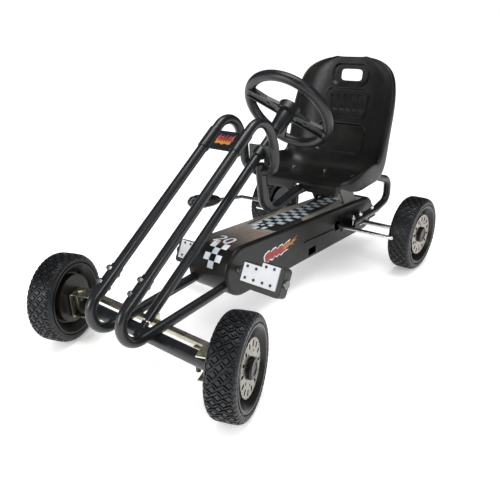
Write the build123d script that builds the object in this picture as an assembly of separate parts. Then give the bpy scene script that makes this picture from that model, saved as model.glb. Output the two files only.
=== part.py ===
from build123d import *
from math import acos, asin, atan2, cos, degrees, hypot, pi, radians, sin, tan
import os

# Pedal go kart.  Working frame: +X forward, +Y to the kart's left, +Z up, millimetres, with the
# rear axle's centre above (0, 0, 0) and the ground at z = 0.  Every node is moved by -MID_X when
# it is written, so that the origin lies under the middle of the kart's box, on the ground.
# The kart is stored with the steering turned to the left.

# ---------------------------------------------------------------- driving dimensions
MID_X = 372.86
WHEEL_R = 100.0
TYRE_HALF = 30.0
RIM_R = 80.0
WHEELBASE = 776.0
REAR_WHEEL_Y = 235.0
KINGPIN_Y = 200.0
STUB_OFFSET = 44.4
REST_STEER = 20.0
REST_COLUMN = 35.0
TUBE_R = 11.0
TUBE_WALL = 1.5
FRAME_Y = 45.3
BEAM_Z = 88.0
BEAM_R = 15.0
AXLE_R = 6.5
FIT = 0.06
COLUMN_ANGLE = 34.55
COLUMN_FOOT = Vector(761.0, 0, 107.4)
STEERING_WHEEL = Vector(260.0, 0, 452.4)
STEERING_WHEEL_R = 108.0
GRIP_R = 12.5
CRANK = Vector(520.0, 0, 141.0)
CRANK_ARM = 88.0
CRANK_ANGLE = 32.0
CHAIN_PITCH = 12.7
CHAINRING_TEETH = 24
SPROCKET_TEETH = 14
CHAIN_Y = 21.0
CASE_HALF = 60.0
CASE_WALL = 2.5
CASE_FRONT_R = 60.0
CASE_REAR_R = 50.0
CASE_BACK = 57.0
CASE_EDGE = 8.0
HOOP_Y = 86.0
POST_R = 13.0
BRAKE_BAR = Vector(109.0, 0, 118.0)
BRAKE_PIVOT = Vector(158.0, 0, 86.0)

UP_COLUMN = Vector(-cos(radians(COLUMN_ANGLE)), 0, sin(radians(COLUMN_ANGLE)))
LEFT = Vector(0, 1, 0)

nodes = {}


# ---------------------------------------------------------------- helpers
def add(name, *solids):
    nodes[name] = list(solids)


def cylinder(start, end, radius, bore=0.0):
    """A round bar or tube from one point to another."""
    start, end = Vector(start), Vector(end)
    along = end - start
    section = Circle(radius) - Circle(bore) if bore else Circle(radius)
    return extrude(Plane(origin=start, z_dir=along) * section, amount=along.length)


def hexagon(start, end, across_flats):
    start, end = Vector(start), Vector(end)
    along = end - start
    section = RegularPolygon(across_flats / 2, 6, major_radius=False)
    return extrude(Plane(origin=start, z_dir=along) * section, amount=along.length)


def bent_tube(points, radii, radius, wall=0.0):
    path = FilletPolyline(*points, radius=radii)
    section = Circle(radius) - Circle(radius - wall) if wall else Circle(radius)
    return sweep(Plane(origin=path @ 0, z_dir=path % 0) * section, path=path)


def block(x0, x1, y0, y1, z0, z1):
    low = Vector(x0, y0, z0)
    return Pos(*low) * Box(x1 - x0, y1 - y0, z1 - z0, align=(Align.MIN,) * 3)


def prism_y(sketch, y0, y1):
    """A sketch drawn in x and z, as a solid between two y values."""
    return extrude(Plane.XZ.offset(-y1) * sketch, amount=y1 - y0)


def mirrored(solid):
    return mirror(solid, about=Plane.XZ)


def both_sides(name, solid):
    add(name + "_left", solid)
    add(name + "_right", mirrored(solid))


def racetrack(centre1, r1, centre2, r2):
    """Two circles in x and z, joined by their outer tangents."""
    dx, dz = centre1[0] - centre2[0], centre1[1] - centre2[1]
    gap = hypot(dx, dz)
    heading = atan2(dz, dx)
    lean = acos((r2 - r1) / gap)
    outline = []
    for turn in (lean, -lean):
        nx, nz = cos(heading + turn), sin(heading + turn)
        ends = [(c[0] + r * nx, c[1] + r * nz) for c, r in ((centre1, r1), (centre2, r2))]
        outline += ends if turn > 0 else ends[::-1]
    sketch = make_face(Polyline(*outline, close=True))
    sketch += Pos(*centre1) * Circle(r1)
    sketch += Pos(*centre2) * Circle(r2)
    return sketch


def turned(solid, degrees_left, x, y):
    """Turns a solid made about the z axis to the left, and stands it at x, y."""
    return Pos(x, y, 0) * Rot(0, 0, degrees_left) * solid


def dome_bolt(start, direction, length, radius, head_r, nut=True):
    """A domed head below start, a shank along direction, and a nut at its far end."""
    direction = Vector(direction).normalized()
    start = Vector(start)
    end = start + direction * length
    bolt = cylinder(start, end, radius)
    head = cylinder(start - direction * head_r * 0.6, start, head_r)
    head = fillet(head.edges().sort_by(lambda e: (e.center() - start).dot(direction))[0], head_r * 0.5)
    bolt += head
    if nut:
        bolt += hexagon(end - direction * radius * 1.6, end - direction * 0.5, radius * 3.4)
    return bolt


# ---------------------------------------------------------------- frame tubes
DIAGONAL_FALL = tan(radians(34.97))


def diagonal(x, y=FRAME_Y):
    return Vector(x, y, 246.8 + (750.0 - x) * DIAGONAL_FALL)


UNDER = Vector(-sin(radians(34.97)), 0, -cos(radians(34.97)))
SLEEVE_TOP, SLEEVE_END, JOINT_X = 780.0, 834.0, 832.0
SLEEVE_R = 12.6
NOSE_CORNER = (958.0, FRAME_Y, 101.4)
RAIL_END = (440.0, FRAME_Y, 124.0)
SLEEVE_BOLTS = (791.0, 817.0)
SLEEVE_BOLT_R = 3.0

lower = bent_tube([diagonal(JOINT_X), NOSE_CORNER, RAIL_END], [42.0], TUBE_R, TUBE_WALL)
lower += cylinder(diagonal(SLEEVE_TOP), diagonal(SLEEVE_END), SLEEVE_R, TUBE_R)
lower += cylinder(diagonal(JOINT_X), diagonal(SLEEVE_END), SLEEVE_R, TUBE_R - 0.5)
upper_points = [
    diagonal(JOINT_X - 0.1),
    diagonal(413.4),
    (379.5, FRAME_Y, 394.0),
    (375.5, FRAME_Y, 338.0),
    (375.5, POST_R - 4.0, 329.0),
]
upper = bent_tube(upper_points, [47.0, 60.0, 27.0], TUBE_R, TUBE_WALL)
post_points = [(375.5, 0, 344.0), (361.0, 0, 215.5), (222.0, 0, 241.0), (45.0, 0, 241.0)]
post_rise = (Vector(*post_points[0]) - Vector(*post_points[1])).normalized()
post_head = cylinder(Vector(*post_points[0]) - post_rise * 45, Vector(*post_points[0]) + post_rise * 16, POST_R)
upper -= post_head

sleeve_bolts = []
for bolt_x in SLEEVE_BOLTS:
    seat_point = diagonal(bolt_x) + UNDER * (SLEEVE_R + 0.3)
    hole = cylinder(seat_point + UNDER * 8, seat_point - UNDER * 36, SLEEVE_BOLT_R + 0.05)
    lower -= hole
    upper -= hole
    bolt = dome_bolt(seat_point, -UNDER, 2 * SLEEVE_R + 7.0, SLEEVE_BOLT_R, 6.0)
    sleeve_bolts += [bolt, mirrored(bolt)]
both_sides("lower_frame", lower)
both_sides("upper_frame", upper)

post = bent_tube(post_points, [45.0, 30.0], POST_R, 2.0)
post += cylinder(post_points[0], Vector(*post_points[0]) + post_rise * 2.5, POST_R)

# ---------------------------------------------------------------- front axle beam
KINGPIN_R = 6.0
PLATE_LOW, PLATE_HIGH, PLATE_T = 63.0, 116.0, 3.0
ROD_R = 5.0


def on_column(distance, drop=0.0):
    """A point on the steering column's axis, measured up it from its foot."""
    return COLUMN_FOOT + UP_COLUMN * distance


beam = cylinder((WHEELBASE, -KINGPIN_Y + 6, BEAM_Z), (WHEELBASE, KINGPIN_Y - 6, BEAM_Z), BEAM_R, BEAM_R - 2.0)
for side in (-1, 1):
    sleeve_bottom = (WHEELBASE, side * KINGPIN_Y, PLATE_LOW + PLATE_T + 0.4)
    sleeve_top = (WHEELBASE, side * KINGPIN_Y, PLATE_HIGH - 0.4)
    beam += cylinder(sleeve_bottom, sleeve_top, 10.5)
    beam -= cylinder((WHEELBASE, side * KINGPIN_Y, 0), (WHEELBASE, side * KINGPIN_Y, 200), KINGPIN_R + FIT)
    stop_y = side * 155.0
    beam += cylinder((WHEELBASE, stop_y, BEAM_Z - BEAM_R + 1), (WHEELBASE, stop_y, 60.0), 5.0)
beam += cylinder(on_column(-40.0), on_column(-3.0), 8.5)
beam -= cylinder(on_column(-60.0), on_column(1.0), ROD_R + FIT)
rail_slope = (RAIL_END[2] - NOSE_CORNER[2]) / (RAIL_END[0] - NOSE_CORNER[0])
for side in (-1, 1):
    rail_ends = [(x, side * FRAME_Y, NOSE_CORNER[2] + (x - NOSE_CORNER[0]) * rail_slope) for x in (720.0, 815.0)]
    beam -= cylinder(rail_ends[0], rail_ends[1], TUBE_R)
add("front_axle_beam", beam)

# ---------------------------------------------------------------- steering knuckles
stub_end = STUB_OFFSET + 28.0
WEB_Y = 14.0


def knuckle_plate(z):
    plate = Pos(0, (WEB_Y + PLATE_T - 30) / 2) * Rectangle(36, WEB_Y + PLATE_T + 30)
    return extrude(Plane.XY.offset(z) * plate, amount=PLATE_T)


def make_knuckle(pivot_hole):
    """A left-hand knuckle, pointing straight ahead, about its kingpin."""
    low_plate = knuckle_plate(PLATE_LOW)
    low_plate += block(-ARM_X, 0, -9, 9, PLATE_LOW, PLATE_LOW + PLATE_T)
    low_plate += Pos(-ARM_X, 0, PLATE_LOW) * Cylinder(9, PLATE_T, align=(Align.CENTER, Align.CENTER, Align.MIN))
    low_plate -= cylinder((-ARM_X, 0, 50), (-ARM_X, 0, 80), pivot_hole)
    body = low_plate + knuckle_plate(PLATE_HIGH)
    body += block(-22, 22, WEB_Y, WEB_Y + PLATE_T, PLATE_LOW, PLATE_HIGH + PLATE_T)
    body += cylinder((0, WEB_Y, WHEEL_R), (0, stub_end, WHEEL_R), AXLE_R)
    body += cylinder((0, WEB_Y, WHEEL_R), (0, STUB_OFFSET - 24.2, WHEEL_R), 11.0)
    body += hexagon((0, STUB_OFFSET + 22.4, WHEEL_R), (0, STUB_OFFSET + 27.0, WHEEL_R), 19.0)
    body += cylinder((0, 0, PLATE_LOW - 5), (0, 0, PLATE_HIGH + PLATE_T), KINGPIN_R)
    body += hexagon((0, 0, PLATE_LOW - 6), (0, 0, PLATE_LOW), 18.0)
    body += hexagon((0, 0, PLATE_HIGH + PLATE_T), (0, 0, PLATE_HIGH + PLATE_T + 7), 18.0)
    return body


ARM_X = 41.0
PIN_R = 4.0
left_knuckle = make_knuckle(PIN_R + FIT)
right_knuckle = mirrored(make_knuckle(PIN_R + 0.6))
add("knuckle_left", turned(left_knuckle, REST_STEER, WHEELBASE, KINGPIN_Y))
add("knuckle_right", turned(right_knuckle, REST_STEER, WHEELBASE, -KINGPIN_Y))

# ---------------------------------------------------------------- tie rod
arm_back = -ARM_X * cos(radians(REST_STEER))
arm_side = -ARM_X * sin(radians(REST_STEER))
PIVOT_X = WHEELBASE + arm_back
PIVOT_LEFT, PIVOT_RIGHT = KINGPIN_Y + arm_side, -KINGPIN_Y + arm_side
ROD_LOW, ROD_HIGH = 85.0, 95.0
bar = block(PIVOT_X - 7, PIVOT_X + 7, PIVOT_RIGHT, PIVOT_LEFT, ROD_LOW, ROD_HIGH)
for pivot_y in (PIVOT_LEFT, PIVOT_RIGHT):
    bar += cylinder((PIVOT_X, pivot_y, ROD_LOW), (PIVOT_X, pivot_y, ROD_HIGH), 7.0)
TAB_TOP = 105.0
for tab_y in (-8.6, 8.6):
    middle = arm_side + tab_y
    bar += block(PIVOT_X - 15, PIVOT_X + 1, middle - 1.5, middle + 1.5, ROD_HIGH - 8, TAB_TOP)
bar += block(PIVOT_X - 12, PIVOT_X + 12, arm_side + 130, arm_side + 154, 70.0, ROD_LOW)
pins = []
for pivot_y in (PIVOT_LEFT, PIVOT_RIGHT):
    bar -= cylinder((PIVOT_X, pivot_y, 60), (PIVOT_X, pivot_y, 110), PIN_R)
    pin = cylinder((PIVOT_X, pivot_y, PLATE_LOW - 6), (PIVOT_X, pivot_y, ROD_HIGH), PIN_R)
    pin += cylinder((PIVOT_X, pivot_y, PLATE_LOW + PLATE_T + 0.3), (PIVOT_X, pivot_y, ROD_LOW), 6.5)
    pin += hexagon((PIVOT_X, pivot_y, ROD_HIGH), (PIVOT_X, pivot_y, ROD_HIGH + 5), 13.0)
    pin += hexagon((PIVOT_X, pivot_y, PLATE_LOW - 6), (PIVOT_X, pivot_y, PLATE_LOW - 0.3), 13.0)
    pins.append(pin)
add("tie_rod", bar)
add("tie_rod_pins", *pins)

# ---------------------------------------------------------------- steering column and wheel
column_top = (STEERING_WHEEL - COLUMN_FOOT).dot(UP_COLUMN)
column = cylinder(on_column(0), on_column(column_top - 10), TUBE_R, TUBE_R - TUBE_WALL)
turn = radians(REST_COLUMN)
across = UP_COLUMN.cross(LEFT)
crank_out = across * cos(turn) - LEFT * sin(turn)
BALL_REACH = 24.5
ball_root = on_column(23.0)
ball = ball_root + crank_out * BALL_REACH
column += cylinder(ball_root + crank_out * (TUBE_R - 1), ball, 2.5)
column += Pos(*ball) * Sphere(4.5)
add("steering_column", column)

hook_out = crank_out * 18.0
rod_end = on_column(-57.0)
hook_points = [on_column(30.0), rod_end, rod_end + hook_out, rod_end + hook_out + UP_COLUMN * 16]
rod = bent_tube(hook_points, [8.8, 8.8], ROD_R)
rod += cylinder(on_column(0.2), on_column(29.8), TUBE_R - TUBE_WALL)
add("steering_rod", rod)

wheel_plane = Plane(origin=STEERING_WHEEL, x_dir=LEFT, z_dir=UP_COLUMN)
SPOKE_T = 9.0
HUB_R = 21.0
steering = Torus(STEERING_WHEEL_R, GRIP_R)
for spoke in (0, 90, 180):
    angle = spoke + REST_COLUMN
    outline = Polyline((8, -19), (60, -13), (STEERING_WHEEL_R, -17), (STEERING_WHEEL_R, 17), (60, 13), (8, 19), close=True)
    arm = extrude(make_face(outline), amount=SPOKE_T)
    steering += Rot(0, 0, angle) * Pos(0, 0, -SPOKE_T - 1) * arm
for side in (-1, 1):
    rail = Pos(0, side * 12.0, -SPOKE_T - 2.5) * Box(2 * STEERING_WHEEL_R, 3.0, 5.0)
    screw = Pos(side * 52.0, 0, -SPOKE_T - 2.4) * Cylinder(4.0, 3.0)
    steering += Rot(0, 0, REST_COLUMN) * (rail + screw)
steering += Pos(0, 0, -12) * Cylinder(HUB_R + 9, 20, align=(Align.CENTER, Align.CENTER, Align.MIN))
boss = Pos(0, 0, -72) * Cone(15.5, HUB_R, 62, align=(Align.CENTER, Align.CENTER, Align.MIN))
steering += boss
steering -= Pos(0, 0, -90) * Cylinder(TUBE_R + 0.03, 81, align=(Align.CENTER, Align.CENTER, Align.MIN))
add("steering_wheel", wheel_plane * steering)

# ---------------------------------------------------------------- column bracket and front panel
SADDLE_X = 375.5
SADDLE_T = 4.0
crossing = COLUMN_FOOT.Z + (COLUMN_FOOT.X - SADDLE_X) * tan(radians(COLUMN_ANGLE))
plate_sketch = Pos(0, crossing) * Rectangle(60, 38)
plate_sketch += Pos(0, crossing - 19) * Circle(18)
bracket = extrude(Plane(origin=(SADDLE_X - SADDLE_T / 2, 0, 0), x_dir=(0, 1, 0), z_dir=(1, 0, 0)) * plate_sketch, amount=SADDLE_T)
bearing_mid = (SADDLE_X - COLUMN_FOOT.X) / UP_COLUMN.X
bracket += cylinder(on_column(bearing_mid - 13), on_column(bearing_mid + 13), 15.5)
bracket -= cylinder(on_column(bearing_mid - 60), on_column(bearing_mid + 60), TUBE_R + FIT)
bracket -= post_head
bracket -= upper
bracket -= mirrored(upper)
for side in (-1, 1):
    leg = [Vector(p[0], side * p[1], p[2]) for p in upper_points[2:]]
    bracket -= bent_tube(leg, [27.0], TUBE_R)
add("column_bracket", bracket)

PANEL_T = 2.0
PANEL_X0, PANEL_X1 = 475.0, 518.0
PANEL_TOP, PANEL_LOW = diagonal(PANEL_X0, 0), diagonal(PANEL_X1, 0)
OUT = -UNDER
PANEL_R = TUBE_R + PANEL_T
panel_mid = (PANEL_TOP + PANEL_LOW) / 2
panel_length = (PANEL_LOW - PANEL_TOP).length
panel_plane = Plane(origin=panel_mid, x_dir=LEFT, z_dir=OUT)
panel = panel_plane * (Pos(0, 0, PANEL_T / 2) * Box(2 * FRAME_Y, panel_length, PANEL_T))
for side in (-1, 1):
    ends = [diagonal(x, side * FRAME_Y) for x in (PANEL_X0, PANEL_X1)]
    cuff = cylinder(ends[0], ends[1], PANEL_R)
    panel += cuff
for side in (-1, 1):
    ends = [diagonal(x, side * FRAME_Y) for x in (PANEL_X0 - 10, PANEL_X1 + 10)]
    panel -= cylinder(ends[0], ends[1], TUBE_R)
add("front_panel", panel)

# ---------------------------------------------------------------- chain case
front_c, rear_c, case_c = (CRANK.X, CRANK.Z), (0.0, WHEEL_R), (-CASE_BACK, WHEEL_R + 4.0)


def case_body(inset):
    """The case as a solid, its faces moved inwards by inset."""
    outline = racetrack(front_c, CASE_FRONT_R - inset, case_c, CASE_REAR_R - inset)
    body = prism_y(outline, -CASE_HALF + inset, CASE_HALF - inset)
    return fillet(body.edges().filter_by(lambda e: abs(e.center().Y) > CASE_HALF - inset - 0.1), CASE_EDGE - inset)


shell = case_body(0.0) - case_body(CASE_WALL)
shell -= prism_y(Pos(*front_c) * Circle(15.0), -100, 100)
shell -= prism_y(Pos(*rear_c) * Circle(17.2), -100, 100)
shell -= prism_y(Pos(BRAKE_BAR.X - 2, BRAKE_BAR.Z - 1) * RectangleRounded(34, 26, 6), -100, 100)
shell -= block(220, 255, 40, 80, 78, 98)
for side in (-1, 1):
    shell -= cylinder((430, side * FRAME_Y, 124.4), (640, side * FRAME_Y, 115.3), TUBE_R + 0.3)
split_angle = atan2(CRANK.Z - WHEEL_R, CRANK.X)
split_normal = Vector(-sin(split_angle), 0, cos(split_angle))
split_plane = Plane(origin=(0, 0, WHEEL_R), x_dir=(cos(split_angle), 0, sin(split_angle)), z_dir=split_normal)
half_space = split_plane * Box(2000, 400, 400, align=(Align.CENTER, Align.CENTER, Align.MIN))
case_upper = shell & half_space
case_lower = shell - half_space
lip = split_plane * (Pos(183, 0, 1.6) * Box(184, 2 * CASE_HALF + 5, 3.2))
lip -= case_body(0.6)
lip -= prism_y(Pos(BRAKE_BAR.X - 2, BRAKE_BAR.Z - 1) * RectangleRounded(34, 26, 6), -100, 100)
case_upper += lip
add("case_upper", case_upper)
add("case_lower", case_lower)


# ---------------------------------------------------------------- crank bracket and main beam
SHELL_R = 15.0
BUSH_R = 11.0
CRANK_R = 8.0
CRANK_ROD_R = 6.5
rail_z = RAIL_END[2] + (500.0 - RAIL_END[0]) * rail_slope
TIE_X0, TIE_X1 = 441.0, 459.0
bracket_shell = cylinder((CRANK.X, -30, CRANK.Z), (CRANK.X, 12, CRANK.Z), SHELL_R)
tie = block(TIE_X0, TIE_X1, -33, 33, 112, 132)
gusset = make_face(Polyline((450, 112), (450, 132), (515, 155), (520, 127), (505, 126), close=True))
tie += prism_y(gusset, -30, -22)
tie += prism_y(gusset, 4, 12)
bracket_shell += tie
bracket_shell += block(TIE_X0, TIE_X1, -56, -28, 108, 136)
bracket_shell += block(TIE_X0, TIE_X1, 28, 56, 108, 136)
for side in (-1, 1):
    rail_line = [(x, side * FRAME_Y, RAIL_END[2] + (x - RAIL_END[0]) * rail_slope) for x in (430.0, 600.0)]
    bracket_shell -= cylinder(rail_line[0], rail_line[1], TUBE_R)
bracket_shell -= cylinder((CRANK.X, -60, CRANK.Z), (CRANK.X, 60, CRANK.Z), BUSH_R)
add("crank_bracket", bracket_shell)
bushes = []
for y0, flange in ((-30.0, -32.0), (4.0, 12.0)):
    bush = cylinder((CRANK.X, y0, CRANK.Z), (CRANK.X, y0 + 8, CRANK.Z), BUSH_R)
    bush += cylinder((CRANK.X, flange, CRANK.Z), (CRANK.X, flange + 2, CRANK.Z), SHELL_R)
    bush -= cylinder((CRANK.X, -60, CRANK.Z), (CRANK.X, 60, CRANK.Z), CRANK_R + FIT)
    bushes.append(bush)
add("crank_bushes", *bushes)

BEAM_BACK, BEAM_FRONT = 146.0, 441.0
beam_slope = 41.0 / 520.0


def beam_z(x):
    return WHEEL_R + 8.0 + x * beam_slope - 8.0 * x / 450.0


beam_side = make_face(Polyline(
    (BEAM_BACK, beam_z(BEAM_BACK) - 18), (BEAM_BACK, beam_z(BEAM_BACK) + 18),
    (BEAM_FRONT, beam_z(BEAM_FRONT) + 15), (BEAM_FRONT, beam_z(BEAM_FRONT) - 15), close=True))
inner_side = offset(beam_side, amount=-2.0)
main_beam = prism_y(beam_side, -30, 0) - prism_y(inner_side, -28, -2)
add("main_beam", main_beam)

# ---------------------------------------------------------------- axle carrier, bearings, brackets
case_line = Vector(CRANK.X - case_c[0], 0, CRANK.Z - case_c[1])
top_angle = atan2(case_line.Z, case_line.X) + asin((CASE_FRONT_R - CASE_REAR_R) / case_line.length)
top_start = Vector(case_c[0] - CASE_REAR_R * sin(top_angle), 0, case_c[1] + CASE_REAR_R * cos(top_angle))
case_top = Plane(origin=top_start, x_dir=(cos(top_angle), 0, sin(top_angle)), z_dir=(-sin(top_angle), 0, cos(top_angle)))
INNER_Y = CASE_HALF - CASE_WALL
PLATE = 3.0
BEARING_R = 12.0
cheek = make_face(Polyline((-30, 82), (-30, 118), (-12, 134), (172, 142), (172, 74), (-12, 74), close=True))
cheek -= Pos(BRAKE_BAR.X - 2, BRAKE_BAR.Z - 1) * RectangleRounded(34, 26, 6)
cheek -= Pos(*rear_c) * Circle(BEARING_R)
carrier = prism_y(cheek, INNER_Y - PLATE, INNER_Y) + prism_y(cheek, -INNER_Y, -INNER_Y + PLATE)
carrier += block(143, 146, -INNER_Y, INNER_Y, 90, 136)
FOOT_X, FOOT_LENGTH = 81.0, 70.0
for side in (-1, 1):
    rib = case_top * (Pos(FOOT_X, side * (INNER_Y - 11), -CASE_WALL - PLATE / 2) * Box(FOOT_LENGTH, 22, PLATE))
    wall = case_top * (Pos(FOOT_X, side * (INNER_Y - PLATE / 2), -CASE_WALL - 16) * Box(FOOT_LENGTH, PLATE, 32))
    carrier += rib + wall
carrier -= prism_y(Pos(BRAKE_BAR.X - 2, BRAKE_BAR.Z - 1) * RectangleRounded(34, 26, 6), -80, 80)
carrier &= case_body(CASE_WALL + 0.05)

HOOP_Z = WHEEL_R + AXLE_R + 1.0 + 11.0
FLANGE_Z = HOOP_Z - TUBE_R
side_web = make_face(Polyline((-58, FLANGE_Z - 3), (-58, FLANGE_Z), (84, FLANGE_Z), (84, 92), (24, 80), (-24, 80), close=True))
side_web += Pos(0, WHEEL_R) * Circle(22)
side_web -= Pos(*rear_c) * Circle(BEARING_R)
WEB_Y0 = CASE_HALF
axle_bracket = prism_y(side_web, WEB_Y0, WEB_Y0 + PLATE)
axle_bracket += block(-58, 84, WEB_Y0, HOOP_Y + 8, FLANGE_Z - PLATE, FLANGE_Z)
axle_bracket -= block(-19, 19, WEB_Y0 + PLATE, HOOP_Y + 20, FLANGE_Z - 20, FLANGE_Z + 1)
axle_bracket -= cylinder((0, 50, WHEEL_R), (0, 80, WHEEL_R), BEARING_R)
bearings = []
for side in (-1, 1):
    ends = [(0, side * y, WHEEL_R) for y in (INNER_Y - PLATE, WEB_Y0 + PLATE + 4)]
    bearing = cylinder(ends[0], ends[1], BEARING_R)
    bearing += cylinder((0, side * (WEB_Y0 + PLATE), WHEEL_R), (0, side * (WEB_Y0 + PLATE + 4), WHEEL_R), 16.0)
    bearing -= cylinder((0, -100, WHEEL_R), (0, 100, WHEEL_R), AXLE_R + FIT)
    bearings.append(bearing)
add("axle_bearings", *bearings)

# ---------------------------------------------------------------- rear hoops
hoop_path = [
    (72.0, HOOP_Y, HOOP_Z), (-68.0, HOOP_Y, HOOP_Z), (-135.0, HOOP_Y + 3, 135.0),
    (-133.0, HOOP_Y + 3, 198.0), (-98.0, HOOP_Y, 208.0), (-8.0, HOOP_Y - 8, 243.0), (60.0, HOOP_Y - 8, 243.0)]
hoop = bent_tube(hoop_path, [45.0, 30.0, 30.0, 16.0, 30.0], TUBE_R, TUBE_WALL)
hoop_bolts = []
for bolt_x in (-44.0, 26.0, 66.0):
    start = Vector(bolt_x, HOOP_Y, HOOP_Z + TUBE_R)
    hoop -= cylinder((bolt_x, HOOP_Y, 90), (bolt_x, HOOP_Y, 140), 3.05)
    axle_bracket -= cylinder((bolt_x, HOOP_Y, 90), (bolt_x, HOOP_Y, 140), 3.05)
    bolt = cylinder(start - Vector(0, 0, 30), start + Vector(0, 0, 1), 3.0)
    bolt += hexagon(start - Vector(0, 0, 1.0), start + Vector(0, 0, 5), 10.0)
    bolt += Pos(*(start + Vector(0, 0, 5))) * Cone(5, 1.5, 6, align=(Align.CENTER, Align.CENTER, Align.MIN))
    bolt += hexagon(start - Vector(0, 0, 30), start - Vector(0, 0, 25.2), 10.0)
    hoop_bolts += [bolt, mirrored(bolt)]
hoop -= Compound(children=[hoop_bolts[0], hoop_bolts[2], hoop_bolts[4]])
both_sides("hoop", hoop)
both_sides("axle_bracket", axle_bracket)
add("hoop_bolts", *hoop_bolts)

# ---------------------------------------------------------------- seat bracket
PAN_UNDER = 258.0
POST_TOP = 241.0 + POST_R
seat_bracket = block(38, 132, -104, 104, POST_TOP, PAN_UNDER)
cheek_y = 51.0
cheek2 = make_face(Polyline((-12, 150), (54, 158), (112, PAN_UNDER - 1), (44, PAN_UNDER - 1), close=True))
for side in (-1, 1):
    y_pair = sorted((side * cheek_y, side * (cheek_y - PLATE)))
    seat_bracket += prism_y(cheek2, *y_pair)
    foot = case_top * (Pos(FOOT_X, side * (cheek_y - 7), PLATE / 2) * Box(FOOT_LENGTH - 6, 14, PLATE))
    seat_bracket += foot
    hoop_end = [(-40.0, side * (HOOP_Y - 8), 243.0), (61.0, side * (HOOP_Y - 8), 243.0)]
    seat_bracket -= cylinder(hoop_end[0], hoop_end[1], TUBE_R)
seat_bracket -= case_top * (Pos(0, 0, 0) * Box(600, 300, 60, align=(Align.CENTER, Align.CENTER, Align.MAX)))

# ---------------------------------------------------------------- seat
SKIN = 4.0
PAN_TOP = PAN_UNDER + SKIN
stations = [
    # x, z, half width, wall height, skirt depth, flat half width
    (-45, 553, 48, 5, 9, 30),
    (-44.5, 546, 84, 9, 11, 50),
    (-42, 526, 121, 20, 14, 66),
    (-36, 497, 139, 25, 16, 76),
    (-25, 455, 148, 28, 18, 82),
    (-12, 415, 152, 30, 20, 86),
    (5, 360, 151, 28, 22, 88),
    (20, 312, 150, 28, 30, 92),
    (34, 282, 150, 34, 42, 96),
    (56, 264, 150, 40, 50, 100),
    (76, PAN_TOP, 150, 42, 54, 102),
    (114, PAN_TOP, 150, 42, 54, 102),
    (142, 264, 149, 34, 52, 104),
    (170, 270, 146, 17, 40, 104),
    (194, 274, 138, 7, 29, 98),
    (211, 272, 126, 3, 18, 90),
    (219, 261, 117, 2, 12, 84),
    (213, 237, 112, 2, 8, 80),
]


def seat_section(half, height, skirt, flat):
    knee = flat + (half - flat) * 0.55
    inside = [(flat, 0), (knee, height * 0.3), (half - 8, height * 0.86), (half - 2, height), (half + 3, height - 2.5)]
    under = [
        (half + 3.5, height - skirt), (half, height - skirt), (half - 1.5, height - 5.0),
        (half - 5, height * 0.86 - SKIN), (knee + 2, height * 0.3 - SKIN), (flat + 1, -SKIN)]
    right = inside + under
    left = [(-y, n) for y, n in reversed(right)]
    return make_face(Polyline(*right, *left, close=True))


sections = []
for i, (x, z, half, height, skirt, flat) in enumerate(stations):
    before = stations[max(i - 1, 0)]
    after = stations[min(i + 1, len(stations) - 1)]
    heading = Vector(after[0] - before[0], 0, after[1] - before[1])
    plane = Plane(origin=(x, 0, z), x_dir=(0, 1, 0), z_dir=heading)
    sections.append(plane * seat_section(half, height, skirt, flat))
seat = loft(sections, ruled=True)
seat -= block(-80, 20, -33, 33, 489, 520)
seat -= block(180, 260, -POST_R - 3, POST_R + 3, 200, POST_TOP + 2)
SEAT_BOLTS = ((99.0, 94.0), (99.0, -94.0), (83.0, 0.0))
seat_bolts = []
for bolt_x, bolt_y in SEAT_BOLTS:
    seat -= cylinder((bolt_x, bolt_y, 220), (bolt_x, bolt_y, 300), 3.05)
    seat_bracket -= cylinder((bolt_x, bolt_y, 220), (bolt_x, bolt_y, 300), 3.05)
    low = 220.0 if bolt_y == 0 else POST_TOP - 8
    bolt = cylinder((bolt_x, bolt_y, low), (bolt_x, bolt_y, PAN_TOP + 1), 3.0)
    bolt += cylinder((bolt_x, bolt_y, PAN_TOP), (bolt_x, bolt_y, PAN_TOP + 3.4), 6.5)
    bolt += hexagon((bolt_x, bolt_y, low), (bolt_x, bolt_y, low + 5), 10.0)
    seat_bolts.append(bolt)
post -= cylinder((83, 0, 200), (83, 0, 300), 3.05)
seat -= block(38, 132, -104, 104, 240, PAN_UNDER)
add("seat", seat)
add("seat_bolts", *seat_bolts)

add("centre_post", post)
foot_bolts = []
for along in (FOOT_X - 24, FOOT_X + 24):
    for side in (-1, 1):
        top = case_top.from_local_coords(Vector(along, side * (cheek_y - 9), PLATE))
        up = case_top.z_dir
        hole = cylinder(top + up * 12, top - up * 30, 3.05)
        seat_bracket -= hole
        carrier -= hole
        case_upper -= hole
        bolt = cylinder(top - up * 17, top + up * 0.5, 3.0)
        bolt += cylinder(top, top + up * 3.2, 5.2)
        bolt += hexagon(top - up * 13.6, top - up * 8.6, 10.0)
        foot_bolts.append(bolt)
add("seat_bracket", seat_bracket)
add("axle_carrier", carrier)
add("seat_foot_bolts", *foot_bolts)
add("case_upper", case_upper)
add("frame_bolts", *sleeve_bolts)

# ---------------------------------------------------------------- rear axle, sprockets, chain
AXLE_END = REAR_WHEEL_Y + 27.0
axle = cylinder((0, -AXLE_END, WHEEL_R), (0, AXLE_END, WHEEL_R), AXLE_R)
for side in (-1, 1):
    axle += cylinder((0, side * 205, WHEEL_R), (0, side * 210.8, WHEEL_R), 11.0)
    axle += hexagon((0, side * 257.4, WHEEL_R), (0, side * 262, WHEEL_R), 19.0)
axle += cylinder((0, 26, WHEEL_R), (0, 30, WHEEL_R), 12.0)
add("rear_axle", axle)


def pitch_radius(teeth):
    return CHAIN_PITCH / 2 / sin(pi / teeth)


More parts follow.
